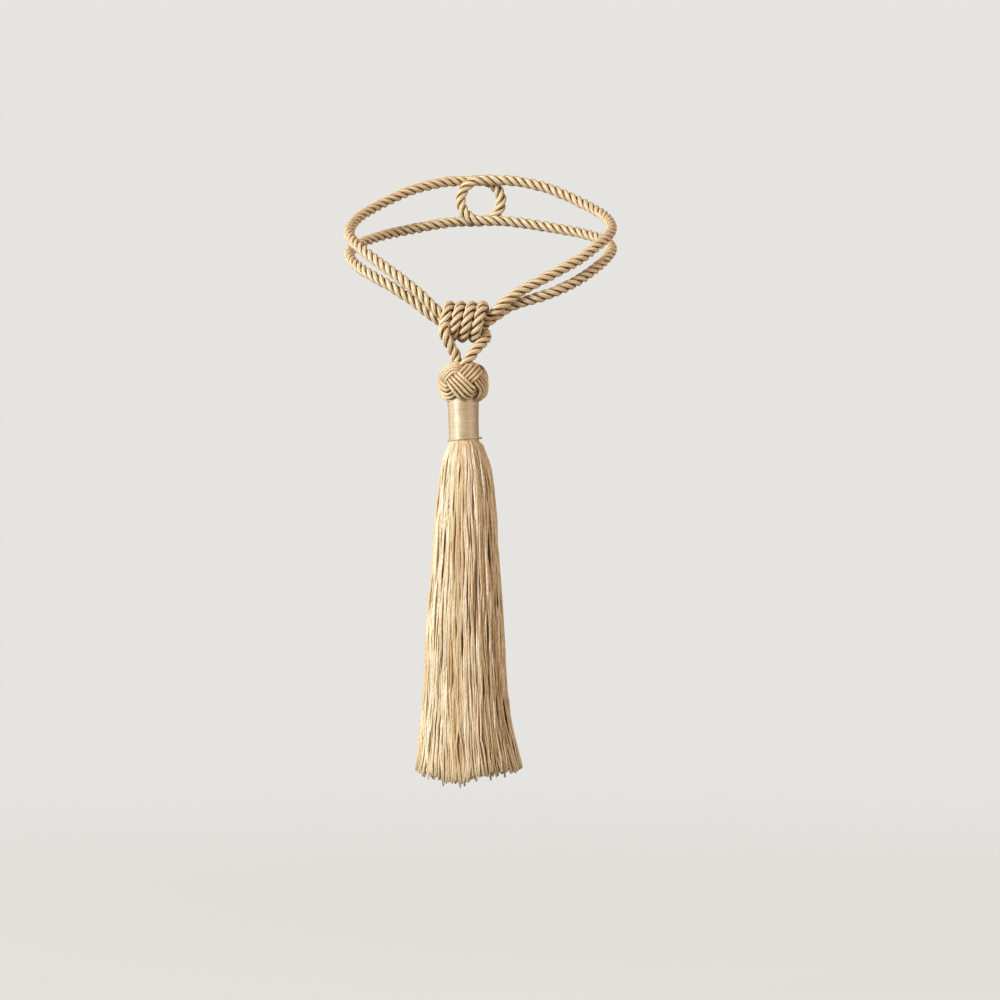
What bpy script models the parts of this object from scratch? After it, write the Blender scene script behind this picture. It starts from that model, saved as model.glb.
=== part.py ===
"""A curtain tieback tassel, hanging as it does in use.

A twisted rope is made into one ring and pulled out long, so that two runs of it lie round an oval
and a bight at each end hangs on the hook. At the front a second length of the same rope is coiled
round both runs, and its two legs carry the tassel: a ball covered with a woven knot, a neck bound
with thread, and a skirt of threads.

Metres, +Z up. The origin is the middle of the eye that the two bights make for the hook. +Y points
to the back and -Y to the front.
"""

import math
import random

import bmesh
import bpy
from mathutils import Matrix, Vector

# --- driving dimensions, in metres unless a name says otherwise ---

ROPE_DIAMETER = 0.0070
ROPE_RADIUS = ROPE_DIAMETER / 2
ROPE_VALLEY_SHARE = 0.70  # depth of the groove between two strands, as a share of the radius
ROPE_STRANDS = 3
ROPE_LAY = 0.0186  # length of one full turn of a strand
STEPS_A_LAY = 8
PIECES_A_SPAN = 12  # of the smooth curve between two points of a route
GAP = 0.0003  # between pieces that touch

# the oval that the ring lies round, which the rope's centre line follows
OVAL_HALF_WIDTH = 0.0886
OVAL_HALF_DEPTH = 0.0660

# the bights on the hook
EYE_RADIUS = 0.0140  # to the rope's centre line
BIGHT_OFFSET = 0.00375  # each bight from the middle of the eye, along Y
BIGHT_POINTS = 7

# the coil at the front, an oval helix whose axis runs along X
COIL_CENTRE_Z = -0.0886
COIL_HALF_HEIGHT = 0.0104
COIL_HALF_DEPTH = 0.0103
COIL_TOP_X = 0.0020  # the top of the rightmost turn
COIL_PITCH = 0.0073
COIL_LEAN = 0.0026  # the foot of a turn is this much further to the left
COIL_START_DEG = -30
COIL_END_DEG = 1270
COIL_STEP_DEG = 20

# the tassel's head
BALL_CENTRE = Vector((-0.0112, -0.1380, -0.1280))
BALL_RADIUS = 0.0150  # under the bands
BALL_SQUASH = 0.86  # height over width
BALL_TOP_Z = -0.1152
BALL_BOTTOM_Z = -0.1398
KNOT_LEADS = 3
KNOT_BIGHTS = 5
KNOT_SWING_DEG = 44  # how far the middle of a band goes from the knot's own equator
KNOT_PHASE_DEG = -10
KNOT_TILT_DEG = 11  # the knot sits a little tilted on its ball, with its front up
BAND_HALF_WIDTH = 0.0056
BAND_RISE = 0.0009  # a band over another is this much further out
BAND_CROWN = 0.0014
POLE_COSINE = 0.2  # where a band's slope is no longer followed
BALL_SIDES = 54
BALL_RINGS = 28

NECK_X = -0.0106
NECK_TOP_Z = BALL_BOTTOM_Z - GAP
NECK_BOTTOM_Z = -0.1676
NECK_TOP_RADIUS = 0.0110
NECK_WAIST_RADIUS = 0.0107
NECK_BOTTOM_RADIUS = 0.0104
THREAD_RIDGE = 0.0005
NECK_SIDES = 36

# the skirt
BACKING_TOP_Z = NECK_BOTTOM_Z - GAP
BACKING_HEIGHT = 0.0020
BACKING_RADIUS = 0.0104
LOCKS_A_SIDE = 5  # six wedges of this number squared
LOCK_INSET = 0.00017
LOCK_SWAY = 0.00010  # to either side, at the scale of the roots
HEM_RISE = 0.0070  # the outermost locks end this much higher
HEM_RAGGED = 0.0026
SEED = 7

# The route of the ring. Angles go round the oval from the front: minus is to the left.
# angle, height of the upper run, height of the lower run, how far the upper run is in front of
# the lower one, share of the full rope radius
RING_ROWS = (
    (-4.0, -0.0865, -0.0907, 0.0053, 0.92),
    (-10.0, -0.0865, -0.0907, 0.0053, 0.92),
    (-13.4, -0.0862, -0.0903, 0.0056, 0.92),
    (-16.5, -0.0841, -0.0886, 0.0060, 0.94),
    (-21.0, -0.0780, -0.0845, 0.0054, 1.0),
    (-28.0, -0.0686, -0.0766, 0.0044, 1.0),
    (-39.0, -0.0571, -0.0667, 0.0016, 1.0),
    (-50.0, -0.0480, -0.0594, 0.0, 1.0),
    (-62.0, -0.0396, -0.0530, 0.0, 1.0),
    (-75.0, -0.0324, -0.0466, 0.0, 1.0),
    (-90.0, -0.0245, -0.0402, 0.0, 1.0),
    (-110.0, -0.0145, -0.0325, 0.0, 1.0),
    (-130.0, -0.0035, -0.0255, 0.0, 1.0),
    (-148.0, 0.0070, -0.0200, 0.0, 1.0),
    (-162.0, 0.0124, -0.0158, 0.0, 1.0),
    (-171.0, 0.0138, -0.0142, 0.0, 1.0),
    (1.5, -0.0863, -0.0905, 0.0055, 0.92),
    (5.0, -0.0843, -0.0867, 0.0069, 0.94),
    (8.7, -0.0789, -0.0826, 0.0064, 1.0),
    (13.0, -0.0732, -0.0784, 0.0055, 1.0),
    (17.7, -0.0684, -0.0759, 0.0034, 1.0),
    (30.0, -0.0588, -0.0704, 0.0, 1.0),
    (40.0, -0.0518, -0.0649, 0.0, 1.0),
    (50.0, -0.0451, -0.0586, 0.0, 1.0),
    (62.0, -0.0366, -0.0506, 0.0, 1.0),
    (75.0, -0.0294, -0.0430, 0.0, 1.0),
    (90.0, -0.0220, -0.0362, 0.0, 1.0),
    (110.0, -0.0125, -0.0295, 0.0, 1.0),
    (130.0, -0.0025, -0.0235, 0.0, 1.0),
    (148.0, 0.0075, -0.0190, 0.0, 1.0),
    (162.0, 0.0126, -0.0156, 0.0, 1.0),
    (171.0, 0.0139, -0.0141, 0.0, 1.0),
)

# The legs of the coil's rope, from the ball up to the coil, and from the coil down to the ball.
RIGHT_LEG = (
    (-0.0072, -0.1382, BALL_TOP_Z + GAP),
    (-0.0072, -0.1382, -0.1130),
    (-0.0056, -0.1387, -0.1098),
    (-0.0022, -0.1392, -0.1062),
    (0.0016, -0.1384, -0.1028),
    (0.0038, -0.1338, -0.0997),
    (0.0039, -0.1278, -0.0975),
)
LEFT_LEG = (
    (-0.0239, -0.1426, -0.0955),
    (-0.0229, -0.1428, -0.0990),
    (-0.0206, -0.1416, -0.1032),
    (-0.0174, -0.1396, -0.1085),
    (-0.0156, -0.1384, -0.1130),
    (-0.0156, -0.1384, BALL_TOP_Z + GAP),
)

# height, half width, half depth, middle along X, middle along Y, share of its place a lock fills
SKIRT_ROWS = (
    (-0.1745, 0.0145, 0.0136, -0.0105, -0.1381, 0.95),
    (-0.1940, 0.0185, 0.0160, -0.0101, -0.1385, 0.92),
    (-0.2500, 0.0228, 0.0186, -0.0093, -0.1392, 0.89),
    (-0.3300, 0.0282, 0.0218, -0.0090, -0.1400, 0.86),
    (-0.3905, 0.0350, 0.0258, -0.0076, -0.1408, 0.82),
)

FABRIC_ROUGHNESS = 0.55
SATIN_ROUGHNESS = 0.35
ROPE_COLOUR = (0.57, 0.39, 0.21, 1.0)
KNOT_COLOUR = (0.55, 0.34, 0.17, 1.0)
SATIN_COLOUR = (0.64, 0.46, 0.24, 1.0)
THREAD_COLOUR = (0.69, 0.51, 0.28, 1.0)


def clear_scene():
    for obj in list(bpy.data.objects):
        bpy.data.objects.remove(obj, do_unlink=True)


def new_collection(name):
    collection = bpy.data.collections.new(name)
    bpy.context.scene.collection.children.link(collection)
    return collection


def new_material(name, colour, roughness):
    material = bpy.data.materials.new(name)
    material.use_nodes = True
    shader = material.node_tree.nodes["Principled BSDF"]
    shader.inputs["Base Color"].default_value = colour
    shader.inputs["Roughness"].default_value = roughness
    shader.inputs["Metallic"].default_value = 0.0
    return material


def add_object(name, data, collection, material=None):
    obj = bpy.data.objects.new(name, data)
    collection.objects.link(obj)
    if material:
        data.materials.append(material)
    return obj


def mesh_from(bm, name):
    mesh = bpy.data.meshes.new(name)
    bm.to_mesh(mesh)
    bm.free()
    return mesh


# --- the rope ---


def on_oval(angle_deg, height):
    """The point where the ring crosses this angle of the oval."""
    angle = math.radians(angle_deg)
    x = OVAL_HALF_WIDTH * math.sin(angle)
    y = -OVAL_HALF_DEPTH * (1 + math.cos(angle))
    return Vector((x, y, height))


def beside_hook(point, angle_deg):
    """The point moved along Y, so that the left and right bights pass each other at the hook."""
    near_hook = max(0.0, (abs(angle_deg) - 90) / 90) ** 2
    side = 1 if angle_deg < 0 else -1
    return point + Vector((0, side * BIGHT_OFFSET * near_hook, 0))


def side_rows(sign):
    """The rows on one side of the oval, from the front to the hook."""
    rows = [row for row in RING_ROWS if row[0] * sign > 0]
    return sorted(rows, key=lambda row: abs(row[0]))


def run_points(rows, upper):
    """The upper or the lower run's (point, share) pairs through these rows."""
    points = []
    for angle, upper_height, lower_height, in_front, share in rows:
        height = upper_height if upper else lower_height
        shift = Vector((0, -in_front / 2 if upper else in_front / 2, 0))
        points.append((beside_hook(on_oval(angle, height), angle) + shift, share))
    return points


def bight_points(sign):
    """A half circle round the hook, from the upper run to the lower one."""
    points = []
    for i in range(BIGHT_POINTS):
        angle = math.pi * i / (BIGHT_POINTS - 1)
        x = -sign * EYE_RADIUS * math.sin(angle)
        z = EYE_RADIUS * math.cos(angle)
        points.append((Vector((x, -sign * BIGHT_OFFSET, z)), 1.0))
    return points


def ring_route():
    """The whole ring: out to the left above, back below, then to the right below and back."""
    left, right = side_rows(-1), side_rows(1)
    return (
        run_points(left, True)
        + bight_points(-1)
        + run_points(left[::-1], False)
        + run_points(right, False)
        + bight_points(1)[::-1]
        + run_points(right[::-1], True)
    )


def coil_point(angle_deg):
    """A point of the coil. At 90 degrees it is at the top of a turn, and at 180 at its front."""
    angle = math.radians(angle_deg)
    x = COIL_TOP_X - COIL_PITCH * (angle_deg - 90) / 360 - COIL_LEAN * (1 - math.sin(angle)) / 2
    axis = on_oval(math.degrees(math.asin(x / OVAL_HALF_WIDTH)), COIL_CENTRE_Z)
    y = axis.y + COIL_HALF_DEPTH * math.cos(angle)
    z = axis.z + COIL_HALF_HEIGHT * math.sin(angle)
    return Vector((x, y, z))


def hanger_route():
    """From the ball up the right leg, round the coil to the left and down the left leg."""
    steps = round((COIL_END_DEG - COIL_START_DEG) / COIL_STEP_DEG)
    coil = [coil_point(COIL_START_DEG + COIL_STEP_DEG * i) for i in range(steps + 1)]
    points = [Vector(p) for p in RIGHT_LEG] + coil + [Vector(p) for p in LEFT_LEG]
    return [(point, 1.0) for point in points]


def catmull_rom(a, b, c, d, t):
    """Between b and c, on the smooth curve through all four."""
    return 0.5 * (
        2 * b
        + (c - a) * t
        + (2 * a - 5 * b + 4 * c - d) * t * t
        + (3 * b - a - 3 * c + d) * t**3
    )


def smooth_route(route, closed):
    """Many (point, share) pairs along the smooth curve through the route's own points."""
    count = len(route)
    spans = count if closed else count - 1
    dense = []
    for i in range(spans):
        picked = [i - 1, i, i + 1, i + 2]
        if closed:
            picked = [k % count for k in picked]
        else:
            picked = [min(max(k, 0), count - 1) for k in picked]
        (a, _), (b, share_b), (c, share_c), (d, _) = (route[k] for k in picked)
        for j in range(PIECES_A_SPAN):
            t = j / PIECES_A_SPAN
            dense.append((catmull_rom(a, b, c, d, t), share_b + (share_c - share_b) * t))
    dense.append(route[0] if closed else route[-1])
    return dense


def spaced_route(dense, count):
    """count + 1 (point, share) pairs at even distances along the dense ones."""
    lengths = [0.0]
    for (a, _), (b, _) in zip(dense, dense[1:]):
        lengths.append(lengths[-1] + (b - a).length)
    spaced, k = [], 0
    for i in range(count + 1):
        wanted = lengths[-1] * i / count
        while k < len(dense) - 2 and lengths[k + 1] < wanted:
            k += 1
        t = (wanted - lengths[k]) / (lengths[k + 1] - lengths[k])
        (a, share_a), (b, share_b) = dense[k], dense[k + 1]
        spaced.append((a.lerp(b, t), share_a + (share_b - share_a) * t))
    return spaced


def route_length(dense):
    return sum((b - a).length for (a, _), (b, _) in zip(dense, dense[1:]))


def strand_profile(collection):
    """The rope's section: a rounded triangle of three strands, with a groove between each two."""
    data = bpy.data.curves.new("rope_section", "CURVE")
    data.dimensions = "2D"
    spline = data.splines.new("POLY")
    corners = 2 * ROPE_STRANDS
    spline.points.add(corners - 1)
    for i, point in enumerate(spline.points):
        angle = -2 * math.pi * i / corners
        radius = ROPE_RADIUS * (1.0 if i % 2 == 0 else ROPE_VALLEY_SHARE)
        point.co = (radius * math.cos(angle), radius * math.sin(angle), 0, 1)
    spline.use_cyclic_u = True
    profile = add_object("rope_section", data, collection)
    profile.hide_render = True
    profile.display_type = "WIRE"
    return profile


def make_rope(name, route, closed, profile, collection, material):
    """A twisted rope along the route, whose strands turn once in each lay."""
    dense = smooth_route(route, closed)
    lays = max(1, round(route_length(dense) / ROPE_LAY))
    spaced = spaced_route(dense, lays * STEPS_A_LAY)
    if closed:
        spaced.pop()
    data = bpy.data.curves.new(name, "CURVE")
    data.dimensions = "3D"
    data.bevel_mode = "OBJECT"
    data.bevel_object = profile
    data.use_fill_caps = not closed
    spline = data.splines.new("POLY")
    spline.points.add(len(spaced) - 1)
    for i, ((position, share), point) in enumerate(zip(spaced, spline.points)):
        point.co = (*position, 1)
        point.tilt = 2 * math.pi * (i / STEPS_A_LAY - lays // 2)
        point.radius = share
    spline.use_cyclic_u = closed
    return add_object(name, data, collection, material)


# --- the head ---


def band_reach(azimuth, latitude):
    """How far the surface of the woven knot stands out from the ball at this place."""
    swing = math.radians(KNOT_SWING_DEG)
    turn = KNOT_BIGHTS / KNOT_LEADS
    reach = 0.0
    for lead in range(KNOT_LEADS):
        phase = turn * (azimuth - math.radians(KNOT_PHASE_DEG) + 2 * math.pi * lead)
        slope = -swing * turn * math.sin(phase) / max(math.cos(latitude), POLE_COSINE)
        away = latitude - swing * math.cos(phase)
        across = BALL_RADIUS * abs(away) / math.hypot(1, slope) / BAND_HALF_WIDTH
        if across < 1:
            over = 0.5 * (1 - math.sin(2 * phase))
            reach += ((BAND_CROWN + BAND_RISE * over) * (1 - across**2)) ** 3
    return reach ** (1 / 3)


def make_ball(collection, material):
    """The ball under its woven knot, flat where the rope enters and where the neck begins."""
    bm = bmesh.new()
    bmesh.ops.create_uvsphere(
        bm, u_segments=BALL_SIDES, v_segments=BALL_RINGS, radius=BALL_RADIUS
    )
    level = Matrix.Rotation(math.radians(KNOT_TILT_DEG), 3, "X")
    for vert in bm.verts:
        direction = vert.co.normalized()
        on_knot = level @ direction
        azimuth = math.atan2(on_knot.x, -on_knot.y)
        latitude = math.asin(max(-1.0, min(1.0, on_knot.z)))
        vert.co = direction * (BALL_RADIUS + band_reach(azimuth, latitude))
        vert.co.z *= BALL_SQUASH
    bmesh.ops.translate(bm, verts=bm.verts, vec=BALL_CENTRE)
    for vert in bm.verts:
        vert.co.z = max(BALL_BOTTOM_Z, min(BALL_TOP_Z, vert.co.z))
    return add_object("knot_ball", mesh_from(bm, "knot_ball"), collection, material)


def make_neck(collection, material):
    """The thread-bound neck, turned, with the last turn of thread proud at its lower end."""
    profile = (
        (0.0, NECK_TOP_Z),
        (NECK_TOP_RADIUS - THREAD_RIDGE, NECK_TOP_Z),
        (NECK_TOP_RADIUS, NECK_TOP_Z - THREAD_RIDGE),
        (NECK_WAIST_RADIUS, (NECK_TOP_Z + NECK_BOTTOM_Z) / 2),
        (NECK_BOTTOM_RADIUS, NECK_BOTTOM_Z + 3 * THREAD_RIDGE),
        (NECK_BOTTOM_RADIUS + THREAD_RIDGE, NECK_BOTTOM_Z + 2 * THREAD_RIDGE),
        (NECK_BOTTOM_RADIUS + THREAD_RIDGE, NECK_BOTTOM_Z + THREAD_RIDGE),
        (NECK_BOTTOM_RADIUS, NECK_BOTTOM_Z),
        (0.0, NECK_BOTTOM_Z),
    )
    bm = bmesh.new()
    verts = [bm.verts.new((x, 0, z)) for x, z in profile]
    for a, b in zip(verts, verts[1:]):
        bm.edges.new((a, b))
    neck = add_object("bound_neck", mesh_from(bm, "bound_neck"), collection, material)
    neck.location = (NECK_X, BALL_CENTRE.y, 0)
    screw = neck.modifiers.new("turn", "SCREW")
    screw.steps = screw.render_steps = NECK_SIDES
    screw.use_merge_vertices = True
    screw.merge_threshold = 0.00001
    return neck


# --- the skirt ---


def to_disc(vert):
    """Moves a point of a hexagon out, so that the hexagon becomes a disc."""
    half_side = math.pi / 6
    angle = (math.atan2(vert.co.y, vert.co.x) + half_side) % (2 * half_side) - half_side
    vert.co *= math.cos(angle) / math.cos(half_side)


def place_lock(lock, roots, row, ragged, draw):
    """Moves a lock's lower end from its root to the place that a row of the skirt gives it."""
    height, half_width, half_depth, middle_x, middle_y, fill = row
    middle = sum(roots, Vector()) / len(roots)
    sway = Vector((draw.uniform(-1, 1), draw.uniform(-1, 1), 0)) * LOCK_SWAY
    for vert, root in zip(lock, roots):
        place = (middle + (root - middle) * fill + sway) / BACKING_RADIUS
        vert.co = (
            middle_x + half_width * place.x,
            middle_y + half_depth * place.y,
            height + ragged,
        )


def make_skirt(collection, material):
    """A round backing with six wedges of three-sided locks, which grow out of its underside."""
    draw = random.Random(SEED)
    bm = bmesh.new()
    number = bm.faces.layers.int.new("lock")
    bmesh.ops.create_circle(bm, cap_ends=True, cap_tris=True, segments=6, radius=BACKING_RADIUS)
    bmesh.ops.subdivide_edges(bm, edges=bm.edges, cuts=LOCKS_A_SIDE - 1, use_grid_fill=True)
    for vert in bm.verts:
        to_disc(vert)
    lower = bm.faces[:]
    upper = bmesh.ops.extrude_face_region(bm, geom=lower)["geom"]
    top = [v for v in upper if isinstance(v, bmesh.types.BMVert)]
    bmesh.ops.translate(bm, verts=top, vec=(0, 0, BACKING_HEIGHT))
    underside = [f for f in bm.faces if all(abs(v.co.z) < GAP for v in f.verts)]
    if underside[0].normal.z > 0:
        bmesh.ops.reverse_faces(bm, faces=bm.faces)
    bmesh.ops.inset_individual(bm, faces=underside, thickness=LOCK_INSET, use_even_offset=True)
    roots, hems = [], []
    for i, face in enumerate(underside):
        face[number] = i
        roots.append([v.co.copy() for v in face.verts])
        outward = face.calc_center_median().length / BACKING_RADIUS
        hems.append(HEM_RISE * outward**2 + draw.uniform(-1, 1) * HEM_RAGGED)
    locks = underside
    for row in SKIRT_ROWS:
        locks = bmesh.ops.extrude_discrete_faces(bm, faces=locks)["faces"]
        for lock in sorted(locks, key=lambda face: face[number]):
            ragged = hems[lock[number]] if row is SKIRT_ROWS[-1] else 0.0
            place_lock(lock.verts, roots[lock[number]], row, ragged, draw)
    disc = [v for v in bm.verts if v.co.z > -GAP]
    bmesh.ops.translate(
        bm,
        verts=disc,
        vec=(NECK_X, BALL_CENTRE.y, BACKING_TOP_Z - BACKING_HEIGHT),
    )
    return add_object("thread_skirt", mesh_from(bm, "thread_skirt"), collection, material)


def main():
    clear_scene()
    tieback = new_collection("tieback_tassel")
    helpers = new_collection("sections")
    rope = new_material("twisted rope", ROPE_COLOUR, FABRIC_ROUGHNESS)
    cord = new_material("knot cord", KNOT_COLOUR, FABRIC_ROUGHNESS)
    satin = new_material("satin thread", SATIN_COLOUR, SATIN_ROUGHNESS)
    thread = new_material("skirt thread", THREAD_COLOUR, FABRIC_ROUGHNESS)
    profile = strand_profile(helpers)
    make_rope("ring_rope", ring_route(), True, profile, tieback, rope)
    make_rope("coil_rope", hanger_route(), False, profile, tieback, rope)
    make_ball(tieback, cord)
    make_neck(tieback, satin)
    make_skirt(tieback, thread)


main()
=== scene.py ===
"""The looks of a tieback tassel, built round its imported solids.

The ring and the coil are three-strand rayon rope with each strand modelled. The ball is a core
under a knot of five-cord bands, the neck is one fine thread wound from top to bottom, and the skirt
is some twelve hundred loose threads. All sizes are in metres, with +Z up, in the solids' frame.
"""

import math
import random

import bmesh
import bpy
import numpy as np
from mathutils import Matrix, Vector


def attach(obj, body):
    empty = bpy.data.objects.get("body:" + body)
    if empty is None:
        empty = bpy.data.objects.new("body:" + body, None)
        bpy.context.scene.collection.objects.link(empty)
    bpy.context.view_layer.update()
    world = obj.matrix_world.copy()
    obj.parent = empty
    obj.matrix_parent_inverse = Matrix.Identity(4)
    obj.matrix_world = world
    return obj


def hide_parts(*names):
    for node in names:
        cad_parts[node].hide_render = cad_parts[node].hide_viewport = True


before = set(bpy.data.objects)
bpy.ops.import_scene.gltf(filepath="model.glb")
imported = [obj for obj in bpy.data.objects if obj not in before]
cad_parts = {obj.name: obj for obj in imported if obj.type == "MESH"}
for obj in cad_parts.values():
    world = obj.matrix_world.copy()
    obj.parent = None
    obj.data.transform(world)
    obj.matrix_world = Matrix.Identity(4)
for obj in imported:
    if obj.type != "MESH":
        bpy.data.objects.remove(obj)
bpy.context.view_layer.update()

MIDDLE_Y = -0.1380  # of the tassel's upright axis

# --- the camera, which looks straight at the front ---

FRAME_WIDTH = 0.66  # what the frame takes in at the tassel, so that a pixel there is 0.66 mm
CAMERA_AWAY = 3.0
CAMERA_X = 0.0132
CAMERA_Z = -0.2066
SENSOR_WIDTH_MM = 36.0

# --- the rope ---

ROPE_STRANDS = 3
ROPE_LAY = 0.0186  # length of one full turn of a strand
STEPS_A_LAY = 20
STRAND_RADIUS = 0.00180
STRAND_AWAY = 0.00200  # from the rope's axis to a strand's
RIDGES = 6  # the cords that a strand is laid up from show as this many ridges round it
RIDGE_DEPTH = 0.11  # of a strand's radius
PIECES_A_SPAN = 12  # of the smooth curve between two points of a route

# The ring lies round an oval whose back is at the hook. The rope's middle line follows it.
OVAL_HALF_WIDTH = 0.0886
OVAL_HALF_DEPTH = 0.0660

# The ring's two bights are half circles round the hook, the left one behind the right one.
EYE_RADIUS = 0.0140
BIGHT_OFFSET = 0.00375  # of each bight's middle line from the hook's middle, along Y
BIGHT_POINTS = 7
PASSING_FROM_DEG = 90  # the runs draw apart along Y from here to the hook

# The coil at the front winds round both runs, from the right to the left. At 90 degrees it is at
# the top of its first turn, and at 180 at the front.
COIL_CENTRE_Z = -0.0886
COIL_HALF_HEIGHT = 0.0104
COIL_HALF_DEPTH = 0.0103
COIL_TOP_X = 0.0020  # of its first turn
COIL_PITCH = 0.0073
COIL_LEAN = 0.0026  # how much further left a turn is at its bottom than at its top
COIL_START_DEG = -30
COIL_END_DEG = 1270
COIL_STEP_DEG = 20

# The ring's rows: an angle round the oval, the height of the upper run, the height of the lower
# run, how far the upper run is in front of the lower one, and the share of the full rope radius.
# Inside the coil the rope is drawn in a little.
RING_ROWS = (
    (-4.0, -0.0865, -0.0907, 0.0053, 0.92),
    (-10.0, -0.0865, -0.0907, 0.0053, 0.92),
    (-13.4, -0.0862, -0.0903, 0.0056, 0.92),
    (-16.5, -0.0841, -0.0886, 0.0060, 0.94),
    (-21.0, -0.0780, -0.0845, 0.0054, 1.0),
    (-28.0, -0.0686, -0.0766, 0.0044, 1.0),
    (-39.0, -0.0571, -0.0667, 0.0016, 1.0),
    (-50.0, -0.0480, -0.0594, 0.0, 1.0),
    (-62.0, -0.0396, -0.0530, 0.0, 1.0),
    (-75.0, -0.0324, -0.0466, 0.0, 1.0),
    (-90.0, -0.0245, -0.0402, 0.0, 1.0),
    (-110.0, -0.0145, -0.0325, 0.0, 1.0),
    (-130.0, -0.0035, -0.0255, 0.0, 1.0),
    (-148.0, 0.0070, -0.0200, 0.0, 1.0),
    (-162.0, 0.0124, -0.0158, 0.0, 1.0),
    (-171.0, 0.0138, -0.0142, 0.0, 1.0),
    (1.5, -0.0863, -0.0905, 0.0055, 0.92),
    (5.0, -0.0843, -0.0867, 0.0069, 0.94),
    (8.7, -0.0789, -0.0826, 0.0064, 1.0),
    (13.0, -0.0732, -0.0784, 0.0055, 1.0),
    (17.7, -0.0684, -0.0759, 0.0034, 1.0),
    (30.0, -0.0588, -0.0704, 0.0, 1.0),
    (40.0, -0.0518, -0.0649, 0.0, 1.0),
    (50.0, -0.0451, -0.0586, 0.0, 1.0),
    (62.0, -0.0366, -0.0506, 0.0, 1.0),
    (75.0, -0.0294, -0.0430, 0.0, 1.0),
    (90.0, -0.0220, -0.0362, 0.0, 1.0),
    (110.0, -0.0125, -0.0295, 0.0, 1.0),
    (130.0, -0.0025, -0.0235, 0.0, 1.0),
    (148.0, 0.0075, -0.0190, 0.0, 1.0),
    (162.0, 0.0126, -0.0156, 0.0, 1.0),
    (171.0, 0.0139, -0.0141, 0.0, 1.0),
)

# The legs of the coil's rope. Their ends go a little way into the ball's knot.
RIGHT_LEG = (
    (-0.0105, -0.1440, -0.1200),
    (-0.0096, -0.1462, -0.1172),
    (-0.0066, -0.1454, -0.1127),
    (-0.0026, -0.1422, -0.1072),
    (0.0016, -0.1384, -0.1028),
    (0.0038, -0.1338, -0.0997),
    (0.0039, -0.1278, -0.0975),
)
LEFT_LEG = (
    (-0.0239, -0.1426, -0.0955),
    (-0.0229, -0.1428, -0.0990),
    (-0.0206, -0.1416, -0.1032),
    (-0.0174, -0.1396, -0.1085),
    (-0.0156, -0.1384, -0.1130),
    (-0.0148, -0.1382, -0.1190),
)

# --- the knotted ball ---

BALL_CENTRE = Vector((-0.0110, MIDDLE_Y, -0.1280))
CORE_RADIUS = 0.0127
CORE_SUBDIVISIONS = 4
UPPER_SQUASH = 0.84  # height over width
LOWER_SQUASH = 0.90
TOP_ROUNDNESS = 2.1  # the ball is round above, at 2, and fuller below, where it caps the neck
BOTTOM_ROUNDNESS = 3.2
FULLEST_DOWN = 0.5  # the ball is at its fullest where a direction's Z is this far below 0
KNOT_LEADS = 3
KNOT_BIGHTS = 5
KNOT_SWING_DEG = 44  # how far its bights reach up and down from the ball's equator
KNOT_PHASE_DEG = -10  # where round the ball one of its upper bights is
KNOT_TILT_DEG = 11  # the knot sits a little tilted on its core, with its front up
KNOT_STEPS = 330
BAND_CORDS = 5
CORD_RADIUS = 0.00108
CORD_SIDES = 10
CORD_PITCH = 0.00225  # from one cord of a band to the next, where it lies on the core
BAND_LIFT = 0.0021  # a band over another is this much further out
LIFT_SHARPNESS = 2.2  # the larger, the shorter the climb from under a band to over it
CORD_EASINGS = 8  # rounds off the inner cords' turns at the bights

# A cord's or thread's uneven run is two waves together: their size, and the shortest and longest
# that they may be. Each wave has half of that size or more, and begins anywhere in its turn.
WAVES = 2
WAVE_SHARES = (0.5, 1.0)
WAVE_STARTS = (0, 6.3)
CORD_RUN = (0.00009, 0.01, 0.03)

# The knot is tied by hand, so its middle line is a little off an even pattern: the even place
# and the real one, each as an angle round the ball and an angle up from its equator.
PULLS_DEG = (
    ((-63, 0), (-68, 0)),
    ((-10, 44), (-16, 34)),
    ((62, 44), (55, 42)),
    ((62, -22), (73, -24)),
    ((26, -44), (30, -51)),
    ((98, -44), (90, -50)),
)
PULL_SPREAD_DEG = 22  # how far round a pulled place its neighbours move with it

# --- the bound neck ---

NECK_TOP_Z = -0.1392
NECK_BOTTOM_Z = -0.1679
NECK_TOP_X = -0.0112
NECK_BOTTOM_X = -0.0105
NECK_TOP_RADIUS = 0.0106  # outside the thread
NECK_BOTTOM_RADIUS = 0.0100
NECK_WAIST = 0.0003  # how far it is drawn in at its middle
THREAD_RADIUS = 0.00045
THREAD_SIDES = 6
THREAD_PITCH = 0.00044  # less than the thread's width, since the turns are pressed flat
STEPS_A_TURN = 36

# The last turn goes back over the others and is tied off at the right. Places along it are shares
# of its length.
TIE_START_DEG = -250
TIE_END_DEG = 84
TIE_SHARE = 1.5  # it is doubled, so it is thicker than the others
TIE_PROUD = 0.00060  # how far it stands out over the others, from PROUD_BY on
PROUD_BY = 0.25
TIE_RISE = 0.00297  # how far it climbs, from RISE_FROM to its end
RISE_FROM = 0.45
TIE_TAIL = 0.0013  # how much further its tail stands out, from TAIL_FROM to its end
TIE_DROOP = 0.0008
TAIL_FROM = 0.9

HEADING_SIDES = 48
HEADING_EDGE = 0.0006
HEADING_EDGE_STEPS = 2

# --- the skirt ---

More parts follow.
